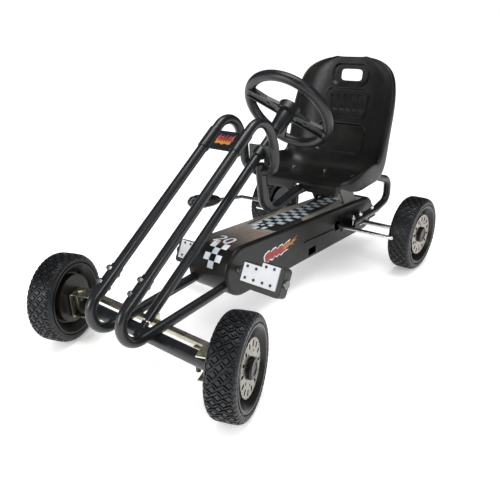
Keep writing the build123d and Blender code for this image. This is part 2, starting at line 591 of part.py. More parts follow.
def toothed(teeth, bore, spokes):
    root = pitch_radius(teeth) - 4.0
    disc = Circle(root)
    tooth = make_face(Polyline((root - 1, -3.6), (root + 6.0, -1.4), (root + 6.0, 1.4), (root - 1, 3.6), close=True))
    for placed in PolarLocations(0, teeth):
        disc += placed * tooth
    disc -= Circle(bore)
    for placed in PolarLocations(root * 0.62, spokes) if spokes else ():
        disc -= placed * Circle(root * 0.17)
    return disc


sprocket = prism_y(Pos(0, WHEEL_R) * toothed(SPROCKET_TEETH, AXLE_R, 0), CHAIN_Y - 1, CHAIN_Y + 1)
sprocket += cylinder((0, CHAIN_Y + 0.9, WHEEL_R), (0, 26, WHEEL_R), 14.0, AXLE_R)
add("sprocket", sprocket)
chainring = prism_y(Pos(CRANK.X, CRANK.Z) * toothed(CHAINRING_TEETH, CRANK_R, 6), CHAIN_Y - 1, CHAIN_Y + 1)
chainring += cylinder((CRANK.X, CHAIN_Y + 0.9, CRANK.Z), (CRANK.X, CHAIN_Y + 6, CRANK.Z), 14.0, CRANK_R)
add("chainring", chainring)

r1, r2 = pitch_radius(CHAINRING_TEETH), pitch_radius(SPROCKET_TEETH)
link_band = racetrack(front_c, r1 + 3.5, rear_c, r2 + 3.5) - racetrack(front_c, r1 - 3.5, rear_c, r2 - 3.5)
chain = prism_y(link_band, CHAIN_Y - 3.5, CHAIN_Y - 2) + prism_y(link_band, CHAIN_Y + 2, CHAIN_Y + 3.5)
run_gap = hypot(CRANK.X, CRANK.Z - WHEEL_R)
run_lean = asin((r1 - r2) / run_gap)
for side in (-1, 1):
    nx = cos(split_angle + side * (pi / 2 + run_lean))
    nz = sin(split_angle + side * (pi / 2 + run_lean))
    first = Vector(r2 * nx, 0, WHEEL_R + r2 * nz)
    last = Vector(CRANK.X + r1 * nx, 0, CRANK.Z + r1 * nz)
    step = (last - first).normalized()
    for pin in range(3, int((last - first).length / CHAIN_PITCH) - 2):
        middle = first + step * (pin * CHAIN_PITCH)
        chain += cylinder(middle + LEFT * (CHAIN_Y - 2.5), middle + LEFT * (CHAIN_Y + 2.5), 2.6)
add("chain", chain)

# ---------------------------------------------------------------- crank and pedals
ARM_Y, PEDAL_IN, PEDAL_OUT = 78.0, 123.0, 227.0
crank_dir = Vector(cos(radians(CRANK_ANGLE)), 0, sin(radians(CRANK_ANGLE)))
spindle_l = CRANK + crank_dir * CRANK_ARM
spindle_r = CRANK - crank_dir * CRANK_ARM
crank = cylinder(CRANK - LEFT * 32.5, CRANK + LEFT * 27, CRANK_R)
for spindle, side in ((spindle_l, 1), (spindle_r, -1)):
    y_dir = LEFT * side
    bend = [CRANK, CRANK + y_dir * ARM_Y, spindle + y_dir * 110, spindle + y_dir * (PEDAL_OUT + 3)]
    crank += bent_tube(bend, [12.0, 12.0], CRANK_ROD_R)
    crank += cylinder(spindle + y_dir * (PEDAL_OUT + 1), spindle + y_dir * (PEDAL_OUT + 5), 9.0)
    crank += cylinder(spindle + y_dir * (PEDAL_IN - 4.5), spindle + y_dir * (PEDAL_IN - 1.0), 9.0)
crank += cylinder(CRANK + LEFT * 61, CRANK + LEFT * 66, 11.0)
crank += cylinder(CRANK - LEFT * 61, CRANK - LEFT * 66, 11.0)
add("crank", crank)

PEDAL_FACE = 14.0
STUDS = [(y, z) for y, top in ((16, 14), (38, 13), (60, 23), (80, 23)) for z in (top, -10)]


def make_pedal():
    """Left pedal about its spindle: x along the tread plate's face normal, z up the plate."""
    step_y = PEDAL_IN + 49
    body = block(-14, 11, PEDAL_IN, PEDAL_OUT, -31, 23) + block(-14, 11, step_y, PEDAL_OUT, 0, 31)
    body = fillet(body.edges().filter_by(Axis.X).sort_by(Axis.Y)[-2:], 9.0)
    body = fillet(body.faces().sort_by(Axis.X)[-1].edges(), 2.0)
    for rib in range(4):
        y0 = PEDAL_IN + 10 + rib * 22
        body -= block(-20, -9.5, y0, y0 + 14, -25, 17)
    body -= cylinder((0, 0, 0), (0, 300, 0), CRANK_ROD_R + FIT)
    plate = block(11, PEDAL_FACE, PEDAL_IN + 6, PEDAL_OUT - 11, -18.5, 20)
    plate += block(11, PEDAL_FACE, step_y + 1, PEDAL_OUT - 11, 0, 29)
    for y, z in STUDS:
        plate -= cylinder((10, PEDAL_IN + y, z), (16, PEDAL_IN + y, z), 3.0)
        body += cylinder((10, PEDAL_IN + y, z), (PEDAL_FACE + 1.2, PEDAL_IN + y, z), 2.95)
    return body, plate


pedal_body, pedal_plate = make_pedal()
lean = Rot(0, -27.3, 0)
for name, spindle, flip in (("left", spindle_l, False), ("right", spindle_r, True)):
    for label, piece in (("pedal_", pedal_body), ("pedal_plate_", pedal_plate)):
        piece = mirrored(piece) if flip else piece
        add(label + name, Pos(*spindle) * lean * piece)

# ---------------------------------------------------------------- brake
BRAKE_Y = -68.0
BAR_END = 224.0
bar_points = [Vector(BRAKE_BAR.X, -BAR_END, BRAKE_BAR.Z), Vector(BRAKE_BAR.X, BAR_END, BRAKE_BAR.Z)]
brake = cylinder(bar_points[0], bar_points[1], 5.0)
for end in bar_points:
    brake += Pos(*end) * Sphere(5.0)
lever = make_face(Polyline((96, 108), (150, 76), (168, 78), (240, 178), (228, 190), (160, 104), (122, 130), (104, 130), close=True))
lever = prism_y(lever, BRAKE_Y - 3, BRAKE_Y)
PIVOT_R = 5.0
lever -= cylinder(BRAKE_PIVOT - LEFT * 100, BRAKE_PIVOT + LEFT * 100, PIVOT_R + FIT)
rod_path = [(224, BRAKE_Y - 1.5, 172), (258, BRAKE_Y - 1.5, 207), (356, BRAKE_Y - 10, 246), (444, -84, 261)]
brake += lever
brake += bent_tube(rod_path, [30.0, 30.0], 4.5)
add("brake_lever", brake)
GRIP_BACK, GRIP_FRONT = Vector(436, -84, 259.6), Vector(537, -84, 281)
grip_line = Plane(origin=GRIP_BACK, x_dir=LEFT, z_dir=GRIP_FRONT - GRIP_BACK)
grip_length = (GRIP_FRONT - GRIP_BACK).length
grip_profile = [(0, 0), (8, 0), (11, 8), (14.5, 26), (16.5, 50), (16.5, 74), (13, 92), (7, 101), (0, grip_length)]
grip_half = make_face(Polyline(*grip_profile, close=True))
grip = grip_line * revolve(Plane.XZ * grip_half, axis=Axis.Z)
grip -= brake
add("brake_grip", grip)

carrier_hole = cylinder(BRAKE_PIVOT - LEFT * 80, BRAKE_PIVOT - LEFT * 50, PIVOT_R + 0.02)
nodes["axle_carrier"][0] -= carrier_hole
pivot = cylinder(BRAKE_PIVOT - LEFT * 75, BRAKE_PIVOT - LEFT * (INNER_Y - 3), PIVOT_R)
pivot += cylinder(BRAKE_PIVOT - LEFT * (CASE_HALF + 7.7), BRAKE_PIVOT - LEFT * CASE_HALF, 10.0)
pivot += hexagon(BRAKE_PIVOT - LEFT * 76, BRAKE_PIVOT - LEFT * 71.3, 17.0)
add("brake_pivot", pivot)
for shell_name in ("case_upper", "case_lower"):
    nodes[shell_name][0] -= carrier_hole

# ---------------------------------------------------------------- wheels
tyre_half = [(RIM_R, 0), (RIM_R, TYRE_HALF - 1), (90, TYRE_HALF), (97, 25), (WHEEL_R, 17), (WHEEL_R, 0)]
tyre_section = tyre_half + [(r, -w) for r, w in reversed(tyre_half[1:-1])]
tyre = revolve(Plane.XZ * make_face(Polyline(*tyre_section, close=True)), axis=Axis.Z)
rim_section = [
    (80, 29.5), (76, 29.5), (73, 27), (60, 9), (52, 9), (50, -12), (24, -12), (24, 21.9), (6.56, 21.9),
    (6.56, -24), (54, -24), (54, -9), (58, -9), (73, -26), (76, -29.5), (80, -29.5)]
rim = revolve(Plane.XZ * make_face(Polyline(*rim_section, close=True)), axis=Axis.Z)
DISC_R, SLOTS = 55.0, 14
disc_face = Circle(DISC_R) - Circle(12.5)
slot = Rectangle(11, 6)
for placed in PolarLocations(44, SLOTS):
    disc_face -= placed * slot
for placed in PolarLocations(32, SLOTS // 2, start_angle=180 / SLOTS):
    disc_face -= placed * Circle(2.6)
for placed in PolarLocations(DISC_R + 1, 2 * SLOTS):
    disc_face -= placed * Circle(2.4)
disc = extrude(Plane.XY.offset(22.0) * disc_face, amount=1.5)
cap_section = [
    (0, 30.0), (11, 30.0), (12.5, 31.5), (18, 31.5), (21, 28.0), (21, 23.6), (13, 23.6), (13, 29.0), (0, 29.0)]
cap = revolve(Plane.XZ * make_face(Polyline(*cap_section, close=True)), axis=Axis.Z)
steer = radians(REST_STEER)
WHEELS = {
    "fl": (Vector(WHEELBASE - STUB_OFFSET * sin(steer), KINGPIN_Y + STUB_OFFSET * cos(steer), WHEEL_R),
           Vector(-sin(steer), cos(steer), 0)),
    "fr": (Vector(WHEELBASE + STUB_OFFSET * sin(steer), -KINGPIN_Y - STUB_OFFSET * cos(steer), WHEEL_R),
           Vector(sin(steer), -cos(steer), 0)),
    "rl": (Vector(0, REAR_WHEEL_Y, WHEEL_R), Vector(0, 1, 0)),
    "rr": (Vector(0, -REAR_WHEEL_Y, WHEEL_R), Vector(0, -1, 0)),
}
for corner, (centre, outward) in WHEELS.items():
    hub = Plane(origin=centre, x_dir=(0, 0, 1), z_dir=outward)
    for label, piece in (("tyre_", tyre), ("rim_", rim), ("disc_", disc), ("cap_", cap)):
        add(label + corner, hub * piece)


def save_all():
    os.makedirs("parts", exist_ok=True)
    for name, solids in nodes.items():
        whole = Compound(children=[s.moved(Location((-MID_X, 0, 0))) for s in solids])
        whole.label = name
        export_step(whole, f"parts/{name}.step")


save_all()
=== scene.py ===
import bpy
import bmesh
from math import asin, atan2, cos, hypot, pi, radians, sin, tan
from mathutils import Matrix, Vector


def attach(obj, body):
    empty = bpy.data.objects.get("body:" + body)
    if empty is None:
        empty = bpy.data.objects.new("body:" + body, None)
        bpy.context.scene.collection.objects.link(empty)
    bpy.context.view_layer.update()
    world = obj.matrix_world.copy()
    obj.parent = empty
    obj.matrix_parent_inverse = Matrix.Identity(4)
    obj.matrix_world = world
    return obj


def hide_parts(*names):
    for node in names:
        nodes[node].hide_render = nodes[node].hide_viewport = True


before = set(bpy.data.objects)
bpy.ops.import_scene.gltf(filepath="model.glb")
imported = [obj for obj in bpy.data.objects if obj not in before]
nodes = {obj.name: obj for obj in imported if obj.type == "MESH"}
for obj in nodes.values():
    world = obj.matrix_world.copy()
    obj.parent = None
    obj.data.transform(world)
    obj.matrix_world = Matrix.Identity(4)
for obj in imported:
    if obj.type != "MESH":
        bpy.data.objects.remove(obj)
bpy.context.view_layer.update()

# Sizes below are the kart's own, in millimetres: +X forward from the rear axle, +Y left, +Z up.
MID_X = 372.86


def P(x, y, z):
    return Vector(((x - MID_X) / 1000, y / 1000, z / 1000))


# ---------------------------------------------------------------- materials
def new_material(name):
    material = bpy.data.materials.new(name)
    material.use_nodes = True
    tree = material.node_tree
    shader = tree.nodes["Principled BSDF"]
    where = tree.nodes.new("ShaderNodeTexCoord").outputs["Object"]
    return material, tree, shader, where


def noise_at(tree, where, scale, detail=4.0, rough=0.55):
    texture = tree.nodes.new("ShaderNodeTexNoise")
    texture.inputs["Scale"].default_value = scale
    texture.inputs["Detail"].default_value = detail
    texture.inputs["Roughness"].default_value = rough
    tree.links.new(where, texture.inputs["Vector"])
    return texture.outputs["Fac"]


def ramp(tree, value, stops):
    node = tree.nodes.new("ShaderNodeValToRGB")
    node.color_ramp.elements[0].position = stops[0][0]
    node.color_ramp.elements[0].color = stops[0][1]
    node.color_ramp.elements[1].position = stops[-1][0]
    node.color_ramp.elements[1].color = stops[-1][1]
    for position, colour in stops[1:-1]:
        node.color_ramp.elements.new(position).color = colour
    tree.links.new(value, node.inputs["Fac"])
    return node.outputs["Color"]


def remap(tree, value, low, high):
    node = tree.nodes.new("ShaderNodeMapRange")
    node.inputs["From Min"].default_value = 0.3
    node.inputs["From Max"].default_value = 0.7
    node.inputs["To Min"].default_value = low
    node.inputs["To Max"].default_value = high
    tree.links.new(value, node.inputs["Value"])
    return node.outputs["Result"]


def grey(v, tint=(1, 1, 1)):
    return (v * tint[0], v * tint[1], v * tint[2], 1)


def surface(name, dark, light, rough, metallic=0.0, grain=900, bump=0.15, depth=0.0002, patches=14,
            coat=0.0, specular=0.5):
    """Colour that drifts between two shades, fine grain in the bump, and uneven gloss."""
    material, tree, shader, where = new_material(name)
    drift = noise_at(tree, where, patches, 5.0, 0.6)
    fine = noise_at(tree, where, grain, 3.0, 0.6)
    tree.links.new(ramp(tree, drift, [(0.3, dark), (0.7, light)]), shader.inputs["Base Color"])
    uneven = noise_at(tree, where, patches * 4, 4.0, 0.6)
    tree.links.new(remap(tree, uneven, rough[0], rough[1]), shader.inputs["Roughness"])
    shader.inputs["Metallic"].default_value = metallic
    shader.inputs["Coat Weight"].default_value = coat
    shader.inputs["Coat Roughness"].default_value = 0.12
    shader.inputs["Specular IOR Level"].default_value = specular
    node = tree.nodes.new("ShaderNodeBump")
    node.inputs["Strength"].default_value = bump
    node.inputs["Distance"].default_value = depth
    tree.links.new(fine, node.inputs["Height"])
    tree.links.new(node.outputs["Normal"], shader.inputs["Normal"])
    return material


# Tints that grey() takes: cool and warm blacks, plated and disc steel, and a cold white.
BLUE = (0.86, 0.94, 1.15)
WARM = (1.1, 1.0, 0.88)
DISC = (1.08, 1.0, 0.82)
COLD = (0.98, 1.0, 1.04)
paint = surface("powder_coat", grey(0.006, BLUE), grey(0.011, BLUE), (0.27, 0.38),
                grain=1500, bump=0.25, coat=0.15)
post_paint = surface("post_coat", grey(0.006, BLUE), grey(0.011, BLUE), (0.28, 0.4),
                     grain=1500, bump=0.25, coat=0.15)
moulded = surface("moulded_seat", grey(0.004), grey(0.008, WARM), (0.3, 0.4),
                  grain=2200, bump=0.35, specular=0.34)
case_skin = surface("moulded_case", grey(0.005, WARM), grey(0.009, WARM), (0.3, 0.42),
                    grain=1800, bump=0.3, specular=0.3)
rim_skin = surface("moulded_rim", grey(0.005, WARM), grey(0.009, WARM), (0.28, 0.4),
                   grain=1600, bump=0.3, specular=0.34)
soft_grip = surface("soft_grip", grey(0.006, BLUE), grey(0.010, BLUE), (0.3, 0.42), grain=2600, bump=0.35)
pedal_rubber = surface("pedal_rubber", grey(0.012), grey(0.022), (0.5, 0.62), grain=1500, bump=0.5)
tyre_rubber = surface("tyre_rubber", grey(0.006, BLUE), grey(0.013, BLUE), (0.34, 0.5),
                      grain=1100, bump=0.6, depth=0.0004, specular=0.4)
zinc = surface("zinc_plate", grey(0.42, (1.05, 0.98, 0.76)), grey(0.66, (1.05, 1.0, 0.8)), (0.24, 0.44),
               metallic=1.0, grain=700, bump=0.2, patches=30)
chrome = surface("bright_plate", grey(0.62), grey(0.86), (0.1, 0.24),
                 metallic=1.0, grain=900, bump=0.08, patches=40)
bolt_steel = surface("bolt_steel", grey(0.55), grey(0.8), (0.18, 0.34),
                     metallic=1.0, grain=1200, bump=0.15, patches=60)
disc_silver = surface("disc_silver", grey(0.12, DISC), grey(0.26, DISC), (0.18, 0.3),
                      metallic=1.0, grain=900, bump=0.15, patches=40)
dark_steel = surface("dark_steel", grey(0.10), grey(0.19), (0.3, 0.5),
                     metallic=1.0, grain=800, bump=0.3, patches=50)
bronze = surface("bush_bronze", (0.4, 0.27, 0.12, 1), (0.55, 0.4, 0.2, 1), (0.3, 0.45), metallic=1.0)
white_plate = surface("white_plate", grey(0.44, COLD), grey(0.54, COLD), (0.45, 0.58), grain=1100, bump=0.5)
MATERIALS = {
    "tubes": (paint, ["lower_frame_left", "lower_frame_right", "upper_frame_left", "upper_frame_right",
                      "front_axle_beam", "main_beam", "crank_bracket", "axle_carrier", "column_bracket",
                      "front_panel", "steering_column", "axle_bracket_left", "axle_bracket_right"]),
    "rear": (post_paint, ["centre_post", "hoop_left", "hoop_right", "seat_bracket"]),
    "case": (case_skin, ["case_upper", "case_lower"]),
    "plastic": (moulded, ["seat", "cap_fl", "cap_fr", "cap_rl", "cap_rr"]),
    "rims": (rim_skin, ["rim_fl", "rim_fr", "rim_rl", "rim_rr"]),
    "grips": (soft_grip, ["steering_wheel", "brake_grip"]),
    "pedals": (pedal_rubber, ["pedal_left", "pedal_right"]),
    "plates": (white_plate, ["pedal_plate_left", "pedal_plate_right"]),
    "tyres": (tyre_rubber, ["tyre_fl", "tyre_fr", "tyre_rl", "tyre_rr"]),
    "zinc": (zinc, ["tie_rod", "tie_rod_pins", "knuckle_left", "knuckle_right", "brake_pivot"]),
    "chrome": (chrome, ["steering_rod", "brake_lever", "rear_axle"]),
    "bolts": (bolt_steel, ["frame_bolts", "seat_bolts", "seat_foot_bolts", "hoop_bolts", "axle_bearings"]),
    "discs": (disc_silver, ["disc_fl", "disc_fr", "disc_rl", "disc_rr"]),
    "drive": (dark_steel, ["chain", "chainring", "sprocket", "crank"]),
    "bushes": (bronze, ["crank_bushes"]),
}
for material, names in MATERIALS.values():
    for name in names:
        nodes[name].data.materials.clear()
        nodes[name].data.materials.append(material)


# ---------------------------------------------------------------- mesh helpers
def make_object(name, verts, faces, body, materials, smooth=True):
    mesh = bpy.data.meshes.new(name)
    mesh.from_pydata([tuple(v) for v in verts], [], faces)
    mesh.validate()
    obj = bpy.data.objects.new(name, mesh)
    bpy.context.scene.collection.objects.link(obj)
    for material in materials:
        mesh.materials.append(material)
    for polygon in mesh.polygons:
        polygon.use_smooth = smooth
    if body:
        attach(obj, body)
    return obj


def fix_normals(obj):
    bm = bmesh.new()
    bm.from_mesh(obj.data)
    bmesh.ops.recalc_face_normals(bm, faces=bm.faces)
    bm.to_mesh(obj.data)
    bm.free()


def add_modifier(obj, kind, **settings):
    modifier = obj.modifiers.new(kind.lower(), kind)
    for key, value in settings.items():
        setattr(modifier, key, value)
    return modifier


def bake(obj):
    """Applies every modifier."""
    depsgraph = bpy.context.evaluated_depsgraph_get()
    mesh = bpy.data.meshes.new_from_object(obj.evaluated_get(depsgraph))
    obj.modifiers.clear()
    obj.data = mesh


# ---------------------------------------------------------------- tyres with block tread
WHEEL_R, TREAD_DEPTH = 100.0, 3.4
KINGPIN_X, KINGPIN_Y, HUB_REACH = 776.0, 200.0, 44.4
REAR_Y = 235.0
STEER = radians(20.0)
WHEEL_BODIES = {"fl": "front_left_wheel", "fr": "front_right_wheel",
                "rl": "rear_axle", "rr": "rear_right_wheel"}
BEAD = [(80, 26.5), (81.6, 26), (83.4, 29.4)]
CARCASS = BEAD + [(90, 29.4), (93.5, 27), (95.6, 22), (96.2, 12), (96.3, 0)]
CARCASS = [(r, -w) for r, w in CARCASS] + [(r, w) for r, w in reversed(CARCASS[:-1])]


def wheel_place(corner):
    """Centre and outward direction of a wheel as stored, the front ones turned left."""
    side = 1 if corner[1] == "l" else -1
    if corner[0] == "r":
        return P(0, side * REAR_Y, WHEEL_R), Vector((0, side, 0))
    outward = Vector((-side * sin(STEER), side * cos(STEER), 0))
    return P(KINGPIN_X, side * KINGPIN_Y, WHEEL_R) + outward * HUB_REACH / 1000, outward


def skin_radius(w):
    """Outer radius of the tread's top at a distance w from the centre plane."""
    w = abs(w)
    if w < 16:
        return WHEEL_R - 0.15 - 0.3 * (w / 16) ** 2
    if w < 25:
        return WHEEL_R - 0.45 - 2.6 * ((w - 16) / 9) ** 2
    return 97.0 - 6.5 * min(1.0, (w - 25) / 4.8) ** 1.3


def tyre_mesh():
    verts, faces = [], []
    around = 144
    for i in range(around):
        a = 2 * pi * i / around
        for r, w in CARCASS:
            verts.append((r * cos(a), r * sin(a), w))
    n = len(CARCASS)
    for i in range(around):
        j = (i + 1) % around
        for k in range(n):
            m = (k + 1) % n
            faces.append((i * n + k, j * n + k, j * n + m, i * n + m))
    pitches = 25
    step = 2 * pi / pitches
    arc = step * WHEEL_R

    def tread_block(outline):
        """A block with sloping sides from an outline in arc length and width."""
        cu = sum(p[0] for p in outline) / len(outline)
        cw = sum(p[1] for p in outline) / len(outline)
        base = len(verts)
        count = len(outline)
        for scale, drop in ((1.06, TREAD_DEPTH + 1.5), (0.97, 0.7), (0.86, 0.0)):
            for u, w in outline:
                uu, ww = cu + (u - cu) * scale, cw + (w - cw) * scale
                r = skin_radius(ww) - drop
                a = uu / WHEEL_R
                verts.append((r * cos(a), r * sin(a), ww))
        centre = len(verts)
        r = skin_radius(cw)
        verts.append((r * cos(cu / WHEEL_R), r * sin(cu / WHEEL_R), cw))
        for ring in range(2):
            for k in range(count):
                m = (k + 1) % count
                a0 = base + ring * count
                faces.append((a0 + k, a0 + m, a0 + count + m, a0 + count + k))
        for k in range(count):
            faces.append((base + 2 * count + k, base + 2 * count + (k + 1) % count, centre))

    half = arc / 2
    column = 9.75
    for i in range(pitches):
        u0 = i * arc
        for k in range(-2, 3):
            u, w = u0 + (half if k % 2 else 0), k * column
            tread_block([(u - 5.6, w), (u, w + 5.6), (u + 5.6, w), (u, w - 5.6)])
        for line in (0, 1):
            for k in range(-3, 3):
                high = (k + line) % 2 == 0
                ends = [u0 + line * half + (half / 2) + (3.4 if up else -3.4) for up in (high, not high)]
                reach = [k * column, (k + 1) * column]
                if k in (-3, 2):
                    outer = 0 if k == -3 else 1
                    reach[outer] = (24.5 if outer else -24.5)
                    ends[outer] = ends[1 - outer] + (ends[outer] - ends[1 - outer]) * 0.5
                tread_block([(ends[0] - 1.25, reach[0]), (ends[1] - 1.25, reach[1]),
                             (ends[1] + 1.25, reach[1]), (ends[0] + 1.25, reach[0])])
        for side in (-1, 1):
            for line in (0, 1):
                u = u0 + line * half
                inner = 23.5 if line else 26.0
                tread_block([(u - 3.6, side * inner), (u - 4.2, side * 27.5), (u - 4.0, side * 29.8),
                             (u + 4.0, side * 29.8), (u + 4.2, side * 27.5), (u + 3.6, side * inner)])
    return verts, faces


tyre_verts, tyre_faces = tyre_mesh()
for corner, body in WHEEL_BODIES.items():
    centre, outward = wheel_place(corner)
    x_axis = Vector((0, 0, 1))
    y_axis = outward.cross(x_axis)
    turn = Matrix((x_axis, y_axis, outward)).transposed()
    placed = [centre + turn @ (Vector(v) / 1000) for v in tyre_verts]
    tyre = make_object("tread_" + corner, placed, tyre_faces, body, [tyre_rubber], smooth=False)
    fix_normals(tyre)
    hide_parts("tyre_" + corner)

# ---------------------------------------------------------------- seat
# x and z of the middle, half width, height of the sides, depth of the skirt, half width of the flat middle.
STATIONS = [
    (-45, 553, 48, 5, 9, 30), (-44.5, 546, 84, 9, 11, 50), (-42, 526, 121, 20, 14, 66),
    (-36, 497, 139, 25, 16, 76), (-25, 455, 148, 28, 18, 82), (-12, 415, 152, 30, 20, 86),
    (5, 360, 151, 28, 22, 88), (20, 312, 150, 28, 30, 92), (34, 282, 150, 34, 42, 96),
    (56, 264, 150, 40, 50, 100), (76, 262, 150, 42, 54, 102), (114, 262, 150, 42, 54, 102),
    (142, 264, 149, 34, 52, 104), (170, 270, 146, 17, 40, 104), (194, 274, 138, 7, 29, 98),
    (211, 272, 126, 3, 18, 90), (219, 261, 117, 2, 12, 84), (213, 237, 112, 2, 8, 80)]


def seat_control():
    verts, faces = [], []
    for i, (x, z, half, height, skirt, flat) in enumerate(STATIONS):
        before, after = STATIONS[max(i - 1, 0)], STATIONS[min(i + 1, len(STATIONS) - 1)]
        heading = Vector((after[0] - before[0], 0, after[1] - before[1])).normalized()
        up = heading.cross(Vector((0, 1, 0)))
        knee = flat + (half - flat) * 0.55
        right = [(flat * 0.5, 0), (flat, 0.4), (knee, height * 0.32), (half - 9, height * 0.84),
                 (half - 1, height), (half + 3, height - 4), (half + 4, height - skirt * 0.55),
                 (half + 4, height - skirt)]
        across = [(-y, n) for y, n in reversed(right)] + [(0, 0)] + right
        for y, n in across:
            verts.append(P(x, 0, z) + (up * n + Vector((0, y, 0))) / 1000)
    width = len(across)
    for i in range(len(STATIONS) - 1):
        for k in range(width - 1):
            faces.append((i * width + k, i * width + k + 1, (i + 1) * width + k + 1, (i + 1) * width + k))
    return verts, faces


def rounded(y, z, half_w, low, high, corner):
    """Distance in mm outside a rounded rectangle, negative inside."""
    cy, cz = abs(y), abs(z - (low + high) / 2)
    dy, dz = cy - half_w + corner, cz - (high - low) / 2 + corner
    outside = hypot(max(dy, 0), max(dz, 0))
    return outside + min(max(dy, dz), 0) - corner


def smooth_step(t):
    t = min(max(t, 0.0), 1.0)
    return t * t * (3 - 2 * t)


BAR_Z, BAR_HALF, BAR_PITCH, BAR_SLANT = 433, 20, 21.0, 0.35


def slanting_bars(y, z):
    """How far raised the slanting bars across the upper panel are, from 0 to 1."""
    if abs(z - BAR_Z) > BAR_HALF or abs(y) > 52:
        return 0.0
    phase = (y + (z - BAR_Z) * BAR_SLANT) / BAR_PITCH
    inside = abs(phase - round(phase)) * BAR_PITCH
    return smooth_step((6.0 - inside) / 2.5) * smooth_step((BAR_HALF - abs(z - BAR_Z)) / 3)


seat_verts, seat_faces = seat_control()
seat = make_object("seat_shell", seat_verts, seat_faces, None, [moulded])
fix_normals(seat)
add_modifier(seat, "SOLIDIFY", thickness=0.004, offset=-1.0)
add_modifier(seat, "SUBSURF", levels=4, render_levels=4)
bake(seat)
for vertex in seat.data.vertices:
    y, z = vertex.co.y * 1000, vertex.co.z * 1000
    push = 0.0
    if z > 290:
        upper = rounded(y, z, 66, 396, 469, 16)
        lower = rounded(y, z, 76, 303, 377, 20)
        hole = rounded(y, z, 55, 480, 533, 22)
        push -= 6.5 * smooth_step(0.5 - upper / 3.6)
        push -= 6.5 * smooth_step(0.5 - lower / 3.6)
        push -= 9.0 * smooth_step(0.5 - hole / 7.0)
        push += 2.6 * slanting_bars(y, z)
    vertex.co.x += push / 1000


def prism(name, x_from, x_to, outline):
    """A solid with one outline in y and z between two places along x."""
    count = len(outline)
    verts = [P(x, y, z) for x in (x_from, x_to) for y, z in outline]
    faces = [tuple(range(count)), tuple(reversed(range(count, 2 * count)))]
    for k in range(count):
        m = (k + 1) % count
        faces.append((k, count + k, count + m, m))
    solid = make_object(name, verts, faces, None, [])
    fix_normals(solid)
    return solid


def squircle(half_y, mid_z, half_z, power=0.42, count=48):
    points = []
    for k in range(count):
        ca, sa = cos(2 * pi * k / count), sin(2 * pi * k / count)
        y = half_y * abs(ca) ** power * (1 if ca > 0 else -1)
        points.append((y, mid_z + half_z * abs(sa) ** power * (1 if sa > 0 else -1)))
    return points


NOTCH = [(-17, 200), (17, 200), (17, 250), (12, 258), (-12, 258), (-17, 250)]
tools = [prism("cutter", -90, 30, squircle(33, 504.5, 15.5)), prism("notch", 185, 260, NOTCH)]
for tool in tools:
    add_modifier(seat, "BOOLEAN", operation="DIFFERENCE", object=tool, solver="EXACT")
bake(seat)
for tool in tools:
    bpy.data.objects.remove(tool)
for polygon in seat.data.polygons:
    polygon.use_smooth = True
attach(seat, "chassis")
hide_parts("seat")

# ---------------------------------------------------------------- printed markings on the case and panel
CRANK_X, CRANK_Z, BARREL_R = 520.0, 141.0, 60.0
CASE_BACK, CASE_BACK_Z, CASE_BACK_R = 57.0, 104.0, 50.0
CASE_HALF = 60.0
PRINT_CELL = 6.0
TOP_LEAN = atan2(CRANK_Z - CASE_BACK_Z, CRANK_X + CASE_BACK)
TOP_LEAN += asin((BARREL_R - CASE_BACK_R) / hypot(CRANK_Z - CASE_BACK_Z, CRANK_X + CASE_BACK))


def case_top(s, y, lift=0.3):
    """A point on the case, s mm back from where its flat top starts, or round the front barrel when s < 0."""
    r = BARREL_R + lift
    if s < 0:
        angle = pi / 2 + TOP_LEAN + s / BARREL_R
        return P(CRANK_X + r * cos(angle), y, CRANK_Z + r * sin(angle))
    foot = (CRANK_X - r * sin(TOP_LEAN), CRANK_Z + r * cos(TOP_LEAN))
    return P(foot[0] - s * cos(TOP_LEAN), y, foot[1] - s * sin(TOP_LEAN))


def case_side(x, z, lift=0.35):
    return P(x, CASE_HALF + lift, z)


def print_patch(name, outlines, place, material):
    """Flat outlines laid on a curved surface, cut into cells so that they follow it."""
    verts, faces = [], []
    for outline in outlines:
        base = len(verts)
        verts += [Vector((p[0], p[1], 0)) for p in outline]
        faces.append(tuple(range(base, base + len(outline))))
    patch = make_object(name, verts, faces, None, [material])
    bm = bmesh.new()
    bm.from_mesh(patch.data)
    for axis, normal in ((0, (1, 0, 0)), (1, (0, 1, 0))):
        values = [v.co[axis] for v in bm.verts]
        at = min(values) + PRINT_CELL
        while at < max(values):
            parts = bm.verts[:] + bm.edges[:] + bm.faces[:]
            bmesh.ops.bisect_plane(bm, geom=parts, plane_co=Vector(normal) * at, plane_no=Vector(normal))
            at += PRINT_CELL
    for vertex in bm.verts:
        vertex.co = place(vertex.co.x, vertex.co.y)
    bm.to_mesh(patch.data)
    bm.free()
    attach(patch, "chassis")
    return patch


def text_outline(text, size, name, place, material, bold):
    curve = bpy.data.curves.new(name, "FONT")
    curve.body = text
    curve.size = size
    curve.align_x = "CENTER"
    curve.align_y = "CENTER"
    curve.offset = bold
    curve.resolution_u = 6
    source = bpy.data.objects.new(name + "_src", curve)
    bpy.context.scene.collection.objects.link(source)
    bpy.context.view_layer.update()
    mesh = bpy.data.meshes.new_from_object(source.evaluated_get(bpy.context.evaluated_depsgraph_get()))
    bpy.data.objects.remove(source)
    bm = bmesh.new()
    bm.from_mesh(mesh)
    for vertex in bm.verts:
        vertex.co = place(vertex.co.x, vertex.co.y)
    bm.to_mesh(mesh)
    bm.free()
    mesh.materials.clear()
    mesh.materials.append(material)
    patch = bpy.data.objects.new(name, mesh)
    bpy.context.scene.collection.objects.link(patch)
    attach(patch, "chassis")
    return patch


def ink(name, dark, light):
    return surface(name, dark, light, (0.38, 0.5), grain=1500, bump=0.25, patches=40)


